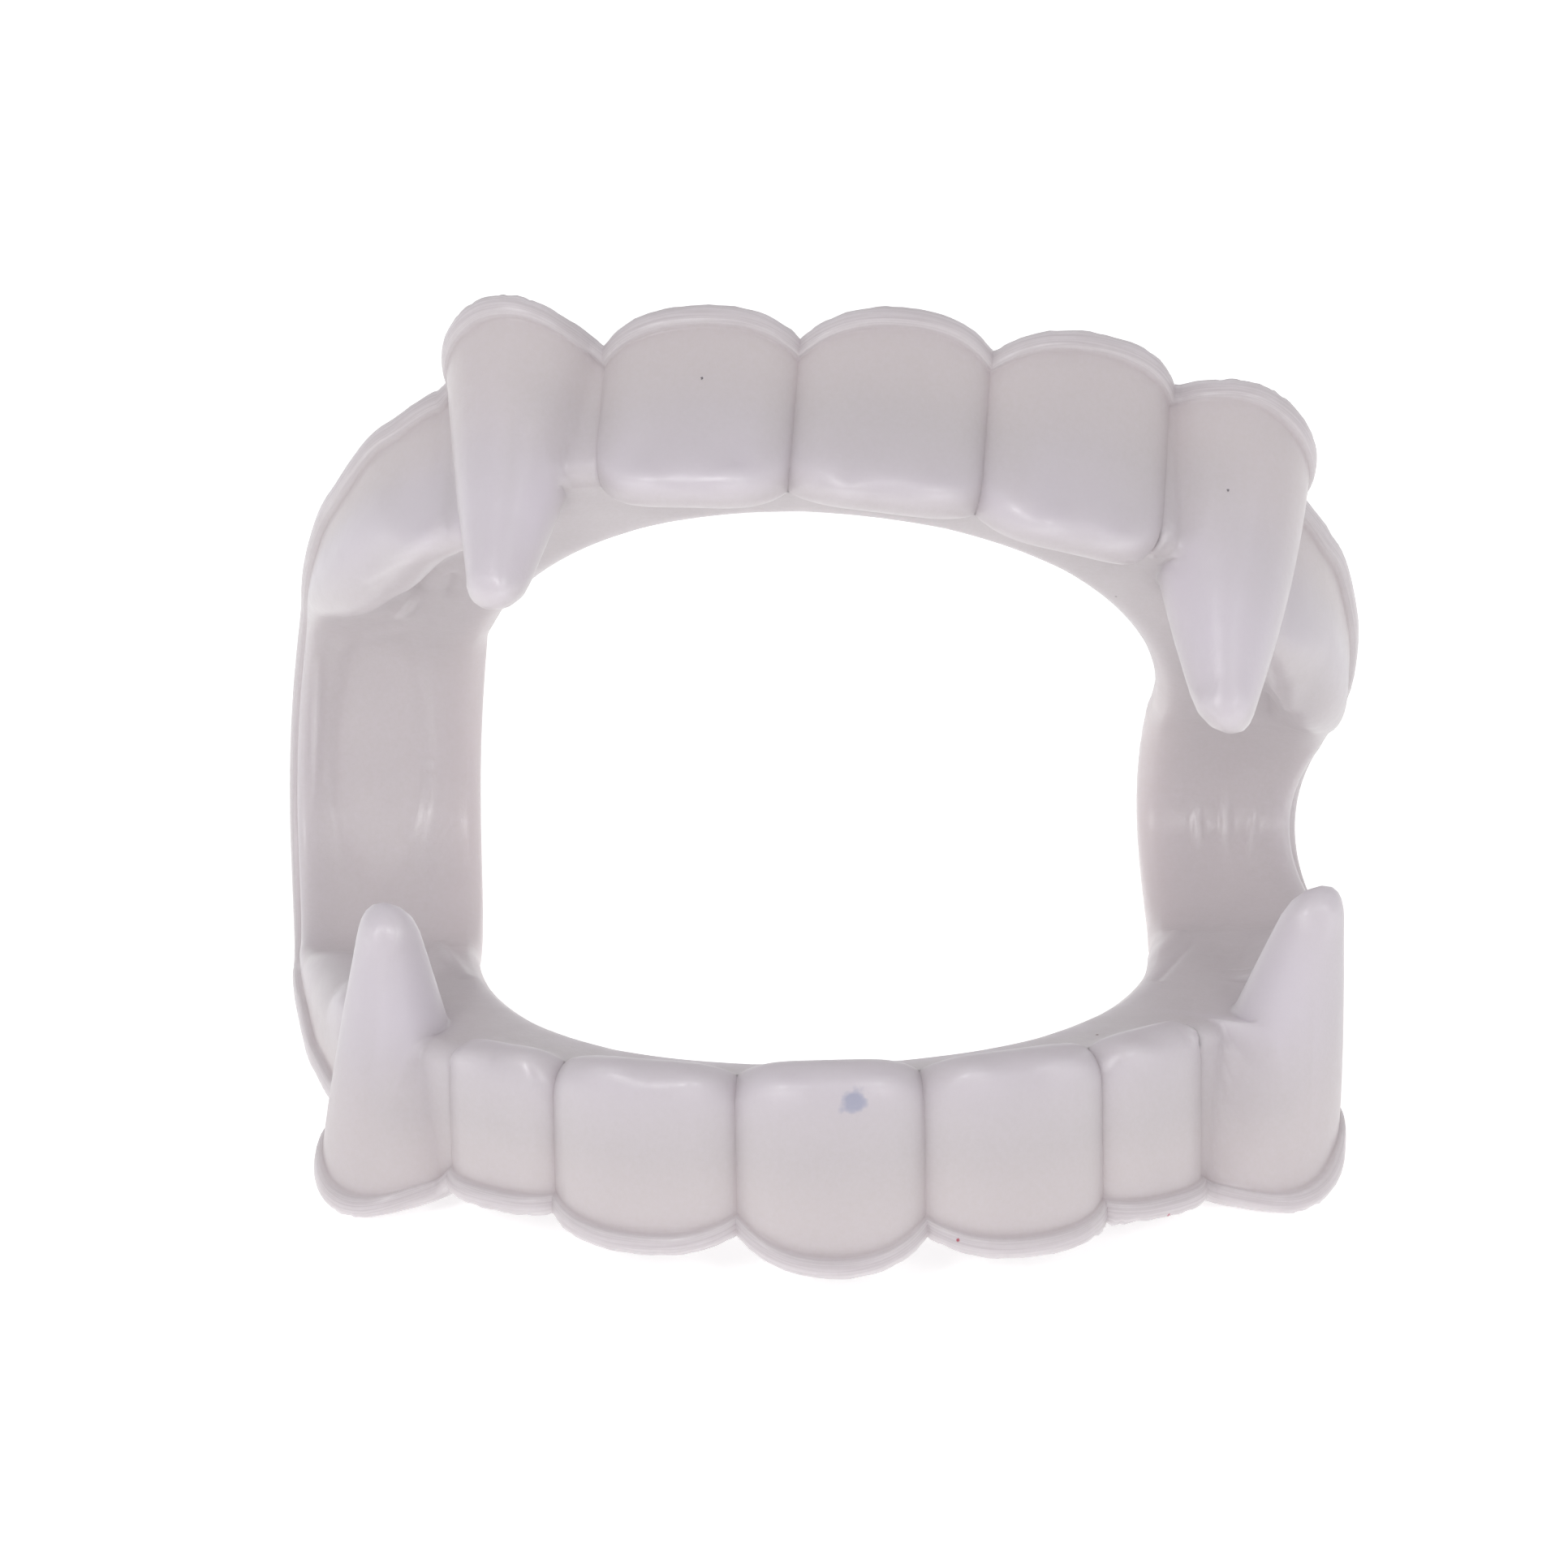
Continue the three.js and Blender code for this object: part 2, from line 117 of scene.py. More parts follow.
# Each fang: length as a share of the fang length, lean outward in degrees, rim as a share of the tooth height,
# how far its axis lies behind the outer plan curve, and fullness, which is 1 for a straight cone.
FANGS = {
    ("upper", -1): {"length": 0.99, "lean": 4, "rim": 1, "inset": 1, "fullness": 1.2},
    ("upper", 1): {"length": 1.11, "lean": 4, "rim": 0.85, "inset": 1.2, "fullness": 1.7},
    ("lower", -1): {"length": 0.98, "lean": 2, "rim": 0.97, "inset": 1, "fullness": 1.2},
    ("lower", 1): {"length": 1, "lean": 15, "rim": 0.91, "inset": 0.4, "fullness": 1.2},
}
# Outer rim behind the incisors: place as a share of the half arch, height as a share of the notch height.
RIM_RUNS = {
    "upper": [(0.56, 0.8), (0.65, 0.7), (0.78, 0.47), (0.9, 0.3), (1, 0.23)],
    "lower": [(0.72, 0.66), (0.82, 0.58), (0.93, 0.38), (1, 0.28)],
}
# Flash left on the rim where the mould was trimmed: place and half width as shares of the half arch, height.
BURRS = [
    {"row": "lower", "arc": -0.9, "rise": 0.5, "reach": 0.018},
    {"row": "lower", "arc": -0.86, "rise": 0.35, "reach": 0.012},
    {"row": "lower", "arc": 0.33, "rise": 0.3, "reach": 0.02},
    {"row": "upper", "arc": 0.62, "rise": 0.2, "reach": 0.015},
]
STEPS = {"incisor": 36, "lobe": 33, "bend": 60, "fang": 13}  # stations
LOBE_STEPS = 1.5  # power that keeps a lobe's stations close together beside the fang on one side
CURVE_STEPS = 4000  # steps along a plan curve when its length is measured
PLACE_TRIES = 40  # halvings that find a slice's place on the plan curve
FACE_SHARES = (0.2, 0.4, 0.6, 0.8)  # a face's points between the band and the edge
BACK_SHARES = (0.2, 0.4, 0.6, 0.8, 1)  # an edge's points from its lowest one to its back
ROUND_DEGREES = (0, 22, 45, 67, 90)  # an edge's points round its corner
FANG_FRONT_POINTS = 8
FANG_BACK_POINTS = 4
FANG_POWER = 1.5  # gathers a fang's points near its tip
TRIM_SEED = 11
WAVES = (0.4, 0.55, 0.8, 1.1, 1.7)  # mm, lengths of the unevenness along a trimmed rim


def mix(a, b, t):
    return a + (b - a) * t


def smooth(t):
    c = min(1.0, max(0.0, t))
    return c * c * (3 - 2 * c)


def spread(count, first=0.0, last=1.0):
    return [mix(first, last, i / (count - 1)) for i in range(count)]


def plan_curve(half, depth, power):
    """A plan curve from its front middle to its right end, read by a share of its length."""
    angles = np.linspace(0, math.pi / 2, CURVE_STEPS + 1)
    xs = half * np.sin(angles) ** (2 / power)
    forwards = depth * np.abs(np.cos(angles)) ** (2 / power)
    forwards[-1] = 0
    lengths = np.concatenate([[0], np.cumsum(np.hypot(np.diff(xs), np.diff(forwards)))])
    table = lengths.tolist()

    def at(share):
        wanted = min(1.0, abs(share)) * table[-1]
        i = max(1, bisect_left(table, wanted))
        t = (wanted - table[i - 1]) / (table[i] - table[i - 1])
        x = float(mix(xs[i - 1], xs[i], t))
        forward = float(mix(forwards[i - 1], forwards[i], t))
        slope_x = (x / half) ** (power - 1) / half
        slope_forward = (forward / depth) ** (power - 1) / depth
        size = math.hypot(slope_x, slope_forward)
        side = -1 if share < 0 else 1
        return side * x, forward, side * slope_x / size, slope_forward / size

    return at


def read_run(run, place):
    """The height at a place on a run of (place, height) pairs."""
    if place <= run[0][0]:
        return run[0][1]
    for (a, low), (b, high) in zip(run, run[1:]):
        if place <= b:
            return mix(low, high, smooth((place - a) / (b - a)))
    return run[-1][1]


class Loft:
    """The closed ring of sections, with the part's own sizes and more points."""

    def __init__(self):
        self.s = SIZES
        self.outer = {
            row: plan_curve(SIZES.half_width, a["depth"], a["square"])
            for row, a in ARCHES.items()
        }
        self.tongue = {
            row: plan_curve(SIZES.tongue_half_width, a["tongue_depth"], a["tongue_square"])
            for row, a in ARCHES.items()
        }

    def twisted(self, x, forward, up, amount):
        """Turns and rolls the arches as wholes; the straps share the difference out along their length."""
        upper, lower = ARCHES["upper"], ARCHES["lower"]
        turn = math.radians(mix(lower["turn"], upper["turn"], amount))
        roll = math.radians(mix(lower["roll"], upper["roll"], amount))
        x = x + mix(lower["shift"], upper["shift"], amount)
        a = x * math.cos(roll) + up * math.sin(roll)
        z = -x * math.sin(roll) + up * math.cos(roll)
        y = -forward
        return a * math.cos(turn) - y * math.sin(turn), a * math.sin(turn) + y * math.cos(turn), z

    def arch_place(self, row):
        """Puts a point of an arch, given by its plan and its height over the bite, in the free shape."""
        tilt = math.radians(ARCHES[row]["open"])
        sign = 1 if row == "upper" else -1
        amount = 1 if row == "upper" else 0
        radius = self.s.bend_radius

        def place(x, forward, gum):
            ahead = forward * math.cos(tilt) - (radius + gum) * math.sin(tilt)
            up = forward * math.sin(tilt) + (radius + gum) * math.cos(tilt)
            return self.twisted(x, ahead, sign * up, amount)

        return place

    def bend_place(self, share):
        """The same for a strap, at a share of its bend from the upper arch to the lower one."""
        first = math.radians(ARCHES["upper"]["open"])
        last = math.pi - math.radians(ARCHES["lower"]["open"])
        angle = mix(first, last, share)
        amount = 1 - smooth(share)
        radius = self.s.bend_radius
        shift = self.s.bend_shift * math.sin(math.pi * share)

        def place(x, forward, gum):
            ahead = forward - (radius + gum) * math.sin(angle)
            up = (radius + gum) * math.cos(angle)
            return self.twisted(x + shift, ahead, up, amount)

        return place

    def section(self, st):
        """A closed section: band, face, edge, bite side, tongue-side wall, trough and outer wall."""
        s = self.s
        rim, bite, face = st.rim, st.bite, st.face
        band = min(s.flange, 0.45 * (rim - bite))
        outer_x, outer_forward, outer_nx, outer_nf = st.outer
        tongue_x, tongue_forward, tongue_nx, tongue_nf = st.tongue
        place = st.place

        def out(w, gum):
            return place(outer_x + outer_nx * w, outer_forward + outer_nf * w, gum)

        def inn(w, gum):
            return place(tongue_x + tongue_nx * w, tongue_forward + tongue_nf * w, gum)

        def between(a, b, t):
            return tuple(mix(p, q, t) for p, q in zip(a, b))

        step = s.flange_step
        profile = [(share, step * out_share) for share, out_share in BAND_PROFILE]
        profile += [(GROOVE_SHARE, -s.groove), (FACE_SHARE, 0)]
        points = [out(face(rim - share * band) + w, rim - share * band) for share, w in profile]
        points[0] = out(face(rim) + step, rim + st.cut)
        points += [out(w, gum) for w, gum in st.edge(rim - FACE_SHARE * band)]
        last_bite = points[-1]
        first_tongue = inn(s.tongue_edge, bite)
        points += [between(last_bite, first_tongue, t) for t in (0.2, 0.4, 0.6, 0.8)]
        fillet = min(s.fillet, 0.6 * (st.tongue_rim - s.floor), 0.6 * (rim - s.floor))
        tongue_foot = bite + s.tongue_edge
        points += [first_tongue, inn(0, tongue_foot)]
        points += [inn(0, mix(tongue_foot, st.tongue_rim, t)) for t in (0.33, 0.67, 1)]
        points += [inn(s.wall / 2, st.tongue_rim), inn(s.wall, st.tongue_rim)]
        points += [inn(s.wall, mix(st.tongue_rim, s.floor + fillet, t)) for t in (0.5, 1)]
        points.append(inn(s.wall + fillet, s.floor))
        trough = points[-1]
        foot = out(st.inside(s.floor) - fillet, s.floor)
        points += [between(trough, foot, t) for t in (0.2, 0.4, 0.6, 0.8, 1)]
        for t in spread(6):
            gum = mix(s.floor + fillet, rim, t)
            points.append(out(st.inside(gum), gum))
        points.append(out((face(rim) + step + st.inside(rim)) / 2, rim + st.cut))
        return points

    def crown_edge(self, face, bite, drop, depth, round_):
        """A tooth's edge from its band down its face, round its corner and back up to the bite."""
        low = bite - drop

        def edge(top):
            start = low + round_
            end = face(start) - round_
            points = [(face(mix(top, start, t)), mix(top, start, t)) for t in FACE_SHARES]
            for degrees in ROUND_DEGREES:
                angle = math.radians(degrees)
                points.append((end + round_ * math.cos(angle), start - round_ * math.sin(angle)))
            for t in BACK_SHARES:
                points.append((mix(end, -depth, t), mix(low, bite, smooth(t))))
            return points

        return edge

    def tongue_rim_at(self, place):
        """The tongue-side rim is full behind the front teeth and runs down to the lip of the strap."""
        low = self.s.floor + self.s.lip
        return mix(self.s.tongue_wall, low, smooth((abs(place) - 0.35) / 0.6))

    def bite_at(self, place):
        """The bite side runs back to the strap at the end of the arch."""
        return -self.s.pad * (1 - smooth((abs(place) - 0.88) / 0.12))

    def tooth_station(self, row, tooth, side, v):
        """A station of an incisor or a lobe; v runs from -1 at the tooth's near end to 1 at its far end."""
        s = self.s
        place = side * mix(tooth["from"], tooth["to"], (v + 1) / 2)
        shape = 1 - v**4
        bite = self.bite_at(place)
        rim = mix(s.notch, s.tooth * tooth.get("rim", 1), 1 - abs(v) ** 2.2)
        rim += ARCHES[row]["slant"] * place
        bulge = s.bulge * tooth["bulge"] * shape
        drop = s.crown_drop * tooth["crown"] * shape
        depth = s.crown_depth
        widest = s.crown_round
        if tooth["kind"] == "lobe":
            back = (abs(place) - tooth["from"]) / (tooth["to"] - tooth["from"])
            shrink = 1 - smooth((back - 0.45) / 0.5)
            rim = max(s.floor + s.lip, s.notch * read_run(RIM_RUNS[row], abs(place)))
            bulge = s.bulge * tooth["bulge"] * math.sin(math.pi * min(1, back))
            drop = s.crown_drop * tooth["crown"] * shrink
            shape = 1 - max(0, v) ** 4
            depth = s.lobe_depth
            widest = mix(s.web_round, s.lobe_round, smooth(back / 0.3))
        round_ = min(widest, 0.35 * (rim - bite + drop))

        def face(gum):
            return bulge

        return SimpleNamespace(
            row=row, kind=tooth["kind"], at=place, cut=0,
            place=self.arch_place(row),
            outer=self.outer[row](place),
            tongue=self.tongue[row](place),
            rim=rim,
            tongue_rim=self.tongue_rim_at(place),
            bite=bite,
            face=face,
            inside=lambda gum: bulge - s.wall,
            edge=self.crown_edge(face, bite, drop, mix(s.edge_depth, depth, shape), round_),
        )

    def fang_shape(self, length, root, fullness):
        """A fang's radius at a height, its lowest point in a slice beside its axis, and its slices."""
        s = self.s
        centre = s.tooth - length + s.fang_tip_radius
        span = s.tooth - centre

        def radius(gum):
            if gum < centre:
                return math.sqrt(max(0.0, s.fang_tip_radius**2 - (centre - gum) ** 2))
            share = min(1.0, (gum - centre) / span)
            return mix(s.fang_tip_radius, root, 1 - (1 - share) ** fullness)

        def low(offset):
            far = abs(offset)
            if far < s.fang_tip_radius:
                return centre - math.sqrt(s.fang_tip_radius**2 - far**2)
            share = min(1.0, (far - s.fang_tip_radius) / (root - s.fang_tip_radius))
            return centre + span * (1 - (1 - share) ** (1 / fullness))

        def slices(reach):
            n = STEPS["fang"]
            free = radius(-s.pad)
            tip = [s.fang_tip_radius * math.sin(math.pi / 2 * t) for t in spread(n)]
            body = [mix(s.fang_tip_radius, free, t) for t in spread(n)[1:-1] + [0.97]]
            base = [mix(free, reach, t) for t in spread(n + 1)[1:]]
            return tip + body + base

        return radius, low, slices

    def fang_stations(self, row, tooth, side):
        """The slices of a fang are parallel, so it stays round where the arch turns."""
        s = self.s
        fang = FANGS[(row, side)]
        cx, cf, nx, nf = self.outer[row](side * mix(tooth["from"], tooth["to"], 0.5))

        def along(share):
            x, forward, _, _ = self.outer[row](share)
            return (x - cx) * nf - (forward - cf) * nx, (x - cx) * nx + (forward - cf) * nf

        ends = sorted([side * tooth["from"], side * tooth["to"]])
        reaches = [abs(along(end)[0]) for end in ends]
        root = min(s.fang_radius, *reaches)
        radius, low_of, slices = self.fang_shape(s.fang_length * fang["length"], root, fang["fullness"])
        before = [-offset for offset in slices(reaches[0])]
        after = slices(reaches[1])[1:]
        far_rim = s.notch * RIM_RUNS[row][0][1]
        stations = []
        for offset in before[::-1] + after:
            low, high = ends
            for _ in range(PLACE_TRIES):
                half = (low + high) / 2
                if along(half)[0] < offset:
                    low = half
                else:
                    high = half
            place = (low + high) / 2
            v = 2 * (abs(place) - tooth["from"]) / (tooth["to"] - tooth["from"]) - 1
            near_rim = s.notch + ARCHES[row]["slant"] * side * tooth["from"]
            edge_rim = mix(near_rim, far_rim, smooth((v + 1) / 2))
            rise = s.tooth * fang["rim"] - mix(s.notch, far_rim, 0.5)
            rim = edge_rim + rise * (1 - abs(v) ** (1.7 if v > 0 else 2.4))
            cut = SimpleNamespace(offset=offset, place=place, v=v, rim=rim, base=along(place)[1])
            stations.append(self.fang_station(row, fang, cut, (nx, nf), radius, low_of))
        return stations

    def fang_station(self, row, fang, cut, facing, radius, low_of):
        """A station at one cut through a fang, or through the webs at its two ends."""
        s = self.s
        offset, place, v, base = cut.offset, cut.place, cut.v, cut.base
        bite = self.bite_at(place)
        # The cuts turn into the next tooth's direction at the fang's two ends.
        x, forward, next_nx, next_nf = self.outer[row](place)
        turned = smooth((abs(v) - 0.75) / 0.25)
        nx, nf = mix(facing[0], next_nx, turned), mix(facing[1], next_nf, turned)
        length = math.hypot(nx, nf)
        nx, nf = nx / length, nf / length

        def axis(gum):
            lean = math.tan(math.radians(fang["lean"])) * max(0.0, s.tooth - s.lean_start - gum)
            return -fang["inset"] + lean

        def chord(gum, less):
            left = radius(gum) - less
            return math.sqrt(max(0.0, left**2 - offset**2)) if left > 0 else 0.0

        def face(gum):
            c = chord(gum, 0)
            return max(base, axis(gum) + c) if c > 0 else base

        def inside(gum):
            c = chord(gum, s.wall)
            return (max(base, axis(gum) + c + s.wall) if c > 0 else base) - s.wall

        tip = low_of(offset)
        # Behind the fang the web hangs as low as the lobe next to it.
        share = smooth(max(0, v) / 0.7)
        low = bite - s.crown_drop * ROWS[row][-1]["crown"] * share
        free = tip < low - s.free_reach

        def edge(top):
            if free:
                points = []
                for k in range(1, FANG_FRONT_POINTS + 1):
                    gum = tip + (top - tip) * (1 - k / (FANG_FRONT_POINTS + 0.6)) ** FANG_POWER
                    points.append((face(gum), gum))
                points.append((axis(tip), tip))
                for k in range(1, FANG_BACK_POINTS + 1):
                    gum = tip + (low - tip) * (k / FANG_BACK_POINTS) ** FANG_POWER
                    points.append((axis(gum) - chord(gum, 0), gum))
                back = mix(axis(bite) - chord(bite, 0), -s.lobe_depth, share)
                return points + [(back, bite)]
            round_ = min(s.web_round, 0.4 * (top - low))
            depth = mix(round_ + s.fillet - face(low + round_), s.lobe_depth, share)
            return self.crown_edge(face, bite, bite - low, depth, round_)(top)

        return SimpleNamespace(
            row=row, kind="fang", at=place, cut=0,
            place=self.arch_place(row),
            outer=(x - nx * base, forward - nf * base, nx, nf),
            tongue=self.tongue[row](place),
            rim=cut.rim,
            tongue_rim=self.tongue_rim_at(place),
            bite=bite,
            face=face,
            inside=inside,
            edge=edge,
        )

    def bend_station(self, side, share):
        """A station of a strap, at a share of its bend from the upper arch to the lower one."""
        s = self.s
        pinch = s.left_pinch if side < 0 else s.right_pinch
        pinch *= math.sin(math.pi * share) ** s.pinch_power
        low = s.floor + s.lip
        upper = s.notch * RIM_RUNS["upper"][-1][1]
        lower = s.notch * RIM_RUNS["lower"][-1][1]
        rim = max(low, upper, mix(low, lower, smooth((share - 0.6) / 0.4)))

        def face(gum):
            return 0.0

        return SimpleNamespace(
            row="bend", kind="bend", at=side * share, cut=0,
            place=self.bend_place(share),
            outer=(side * (s.half_width - pinch), 0.0, side, 0.0),
            tongue=(side * s.tongue_half_width, 0.0, side, 0.0),
            rim=rim,
            tongue_rim=low,
            bite=0.0,
            face=face,
            inside=lambda gum: -s.wall,
            edge=self.crown_edge(face, 0.0, 0.0, s.edge_depth, s.edge_round),
        )

    def arch_stations(self, row):
        """Stations of one arch from its left end to its right end, both ends left out."""
        half = ROWS[row]
        stations = []

        def add(tooth, side):
            if tooth["kind"] == "fang":
                stations.extend(self.fang_stations(row, tooth, side)[1:])
                return
            steps = STEPS[tooth["kind"]]
            for i in range(1, steps + 1):
                t = i / steps
                if tooth["kind"] == "lobe":
                    v = 2 * t**LOBE_STEPS - 1 if side > 0 else 1 - 2 * (1 - t) ** LOBE_STEPS
                else:
                    v = math.sin(math.pi * (t - 0.5))
                stations.append(self.tooth_station(row, tooth, side, side * v))

        for tooth in reversed(half[1:]):
            add(tooth, -1)
        add(half[0], 1)
        for tooth in half[1:]:
            add(tooth, 1)
        return stations[:-1]

    def bend_stations(self, side):
        n = STEPS["bend"]
        return [self.bend_station(side, i / n) for i in range(n + 1)]

    def ring(self):
        """All stations: the upper arch, the right strap, the lower arch and the left strap."""
        return (
            self.arch_stations("upper")
            + self.bend_stations(1)
            + self.arch_stations("lower")[::-1]
            + self.bend_stations(-1)[::-1]
        )

    def trim(self, stations, along):
        """Makes the cut rims uneven, with flash where the mould was trimmed; along is in mm."""
        phases = np.random.default_rng(TRIM_SEED).uniform(0, 2 * math.pi, size=(2, len(WAVES)))
        for station, place in zip(stations, along):
            rim, tongue = (
                sum(math.sin(2 * math.pi * place / wave + phase) for wave, phase in zip(WAVES, row))
                for row in phases
            )
            station.cut = self.s.ragged_rim * rim
            station.tongue_rim += self.s.ragged_tongue * tongue
            for burr in BURRS:
                if station.row == burr["row"]:
                    far = (station.at - burr["arc"]) / burr["reach"]
                    station.cut += burr["rise"] * math.exp(-(far**2)) * (1 + 0.4 * rim)

    def grid(self, stations):
        """The points as an array of station, point and coordinate."""
        return np.array([self.section(st) for st in stations])


def ring_quads(rings, points):
    """Quads that join the sections into one closed ring, facing out."""
    i, j = np.meshgrid(np.arange(rings), np.arange(points), indexing="ij")
    a = i * points + j
    b = ((i + 1) % rings) * points + j
    k = (j + 1) % points
    b_next = ((i + 1) % rings) * points + k
    a_next = i * points + k
    return np.stack([a, a_next, b_next, b], axis=-1).reshape(-1, 4)


def mass_middle(points, quads):
    """The middle of the mass of a closed mesh."""
    tris = np.concatenate([quads[:, [0, 1, 2]], quads[:, [0, 2, 3]]])
    a, b, c = (points[tris[:, k]] for k in range(3))
    pieces = np.einsum("ij,ij->i", a, np.cross(b, c))
    return (pieces[:, None] * (a + b + c)).sum(0) / 4 / pieces.sum()


def rest_tilt(points, quads):
    """Tilt in radians at which the middle of the mass is lowest over the floor."""
    middle = mass_middle(points, quads)
    best = (math.inf, 0.0)
    for degrees in np.arange(5, 60.05, 0.1):
        tilt = math.radians(degrees)
        level = points[:, 2] * math.cos(tilt) - points[:, 1] * math.sin(tilt)
        height = middle[2] * math.cos(tilt) - middle[1] * math.sin(tilt) - level.min()
        best = min(best, (height, tilt))
    return best[1]


def standing(points, quads):
    """The tilt, and the shift that puts the middle of the footprint at the origin."""
    tilt = rest_tilt(points, quads)
    turned = turned_back(points, tilt)
    low, high = turned.min(0), turned.max(0)
    return tilt, np.array([-(low[0] + high[0]) / 2, -(low[1] + high[1]) / 2, -low[2]])


def turned_back(points, tilt):
    c, s = math.cos(tilt), math.sin(tilt)
    turn = np.array([[1, 0, 0], [0, c, s], [0, -s, c]])
    return points @ turn.T


# Camera: the photograph's angle, with the middle of the strap bends as its aim.
PHOTO = 1932  # pixels each way
CAMERA = SimpleNamespace(
    elevation=35.6,
    distance=400.0,  # mm
    pixels_per_mm=22.5,
    aim_pixel=(1000, 996),
)

# Relief that the loft doesn't have, each where the photograph shows it: the pixel at its middle, its half
# width and half length in mm, its turn clockwise in degrees, its rise in mm (less than 0 is a dent), and
# whether it is flat on top.
RELIEF = [
    {"pixel": (470, 925), "half": (2.7, 7.4), "turn": 0, "rise": -0.2, "flat": True},
    {"pixel": (389, 900), "half": (0.22, 3.0), "turn": 2, "rise": 0.22, "flat": False},
    {"pixel": (529, 943), "half": (0.3, 0.18), "turn": 0, "rise": 0.14, "flat": False},
    {"pixel": (418, 943), "half": (0.3, 0.15), "turn": 0, "rise": 0.1, "flat": False},
    {"pixel": (553, 1178), "half": (0.3, 2.6), "turn": -42, "rise": 0.16, "flat": False},
    {"pixel": (495, 690), "half": (0.5, 2.6), "turn": 52, "rise": 0.3, "flat": False},
    {"pixel": (520, 716), "half": (0.7, 1.2), "turn": 60, "rise": -0.4, "flat": False},
    {"pixel": (556, 722), "half": (0.5, 0.9), "turn": 20, "rise": -0.25, "flat": False},
    {"pixel": (500, 750), "half": (0.3, 1.1), "turn": 40, "rise": 0.22, "flat": False},
    {"pixel": (468, 783), "half": (0.3, 1.8), "turn": 75, "rise": 0.16, "flat": False},
    {"pixel": (1476, 1020), "half": (0.26, 1.1), "turn": -4, "rise": 0.2, "flat": False},
    {"pixel": (1510, 1012), "half": (0.26, 1.4), "turn": 0, "rise": 0.22, "flat": False},
    {"pixel": (1542, 1028), "half": (0.24, 1.0), "turn": 6, "rise": 0.18, "flat": False},
    {"pixel": (1428, 1172), "half": (0.3, 2.6), "turn": 45, "rise": 0.16, "flat": False},
    {"pixel": (1446, 1185), "half": (0.22, 2.2), "turn": 42, "rise": -0.1, "flat": False},
    {"pixel": (1590, 862), "half": (0.4, 1.3), "turn": 25, "rise": 0.22, "flat": False},
    {"pixel": (1562, 868), "half": (0.4, 1.0), "turn": -10, "rise": -0.25, "flat": False},
    {"pixel": (1435, 662), "half": (0.25, 1.0), "turn": 35, "rise": 0.2, "flat": False},
]
# Low swellings on the shoulders of the teeth and on the fang tips, two to a tooth, which catch the lights:
# the pixel at the middle of each, and the half width, half length and rise of all in mm.
SHOULDERS = SimpleNamespace(
    half=(1.0, 0.5),
    rise=0.26,
    pixels=[
        (790, 592), (905, 590), (1045, 604), (1158, 606), (1293, 648), (1380, 668),
        (575, 1303), (645, 1305), (750, 1320), (852, 1334), (965, 1340),
        (1085, 1335), (1200, 1322), (1308, 1312), (1400, 1296), (1475, 1275),
    ],
)
TIPS = SimpleNamespace(
    half=(0.42, 0.6),
    rise=0.16,
    pixels=[
        (585, 722), (620, 722), (1482, 868), (1526, 868),
        (458, 1152), (492, 1150), (1606, 1128), (1640, 1128),
    ],
)
FLAT_EDGE = (1.15, 0.3)  # where a flat mark ends and how wide its soft edge is, as shares of its half size
MARK_REACH = 1.6  # how far from its middle a mark reaches, as a share of its longer half size
FACING_SHARPNESS = 4  # how fast a mark fades where the surface turns away from its middle
# Small marks on the surface: pixel, radius in mm and colour.
SPECKS = [
    {"pixel": (865, 466), "radius": 0.09, "colour": (0.16, 0.14, 0.16, 1)},
    {"pixel": (1375, 735), "radius": 0.08, "colour": (0.2, 0.17, 0.18, 1)},
    {"pixel": (1513, 604), "radius": 0.09, "colour": (0.2, 0.18, 0.2, 1)},
    {"pixel": (1352, 1275), "radius": 0.09, "colour": (0.2, 0.12, 0.13, 1)},
    {"pixel": (1180, 1528), "radius": 0.1, "colour": (0.42, 0.1, 0.14, 1)},
    {"pixel": (1440, 1497), "radius": 0.1, "colour": (0.42, 0.12, 0.16, 1)},
    {"pixel": (1052, 1358), "radius": 0.7, "colour": (0.42, 0.42, 0.52, 1)},
]
TONGUE_FACE = slice(24, 31)  # a section's points on its tongue-side face
UNDER_BAND = slice(4, 8)  # its points just inside the band along the rim
BAND_SHARES = (1, 0.75, 0.45, 0.25)  # how near to the rim its points on the band are
# How finely each run of a section's points is drawn: its first point, and the points drawn for each one.
FINENESS = [(0, 2), (19, 8), (24, 2), (32, 1), (39, 2)]
THICKNESS = (1.0, 5.0)  # mm that count as thin and as solid
SKIN = 0.02  # mm under the surface where the thickness is measured from
UNDERSIDE = (0.4, 0.6)  # upward part of a normal under which a surface counts as an underside, which gets painted shade, and over how much
UNDERSIDE_PAINTED_SHADE = 0.9  # how much of its solid look an underside loses to painted shade
WARM_RUN = 0.6  # share of the half arch over which the warm tongue-side face fades towards the teeth
UNDER_BAND_WARMTH = 0.55
# Looks of the plastic: colours, then scales in waves per metre, depths in metres and strengths.
PLASTIC = SimpleNamespace(
    # thin and solid are the tones that the solid attribute runs between: painted light, lighter where the
    # plastic is thick, and painted shade on undersides. They are also the two tones of the clouds and the
    # grain.
    thin=(0.56, 0.522, 0.53, 1),
    groove=(0.46, 0.42, 0.44, 1),
    solid=(0.66, 0.615, 0.67, 1),
    edge=(0.66, 0.595, 0.595, 1),
    edge_share=0.8,
    cloud_scale=160,
    cloud_share=0.16,
    grain_scale=3800,
    grain_share=0.22,
    grain_depth=0.00006,
    grain_strength=0.16,
    dent_scale=420,
    dent_depth=0.00025,
    dent_strength=0.25,
    line_scale=260,
    line_spread=0.05,  # m that the height of the band counts for in the noise of its lines
    line_share=0.5,
    smear_scale=700,
    roughness=(0.29, 0.42),  # where it is smoothest and where it is dullest
    scatter=0.0022,  # m
    scatter_weight=0.8,
    ior=1.5,
)
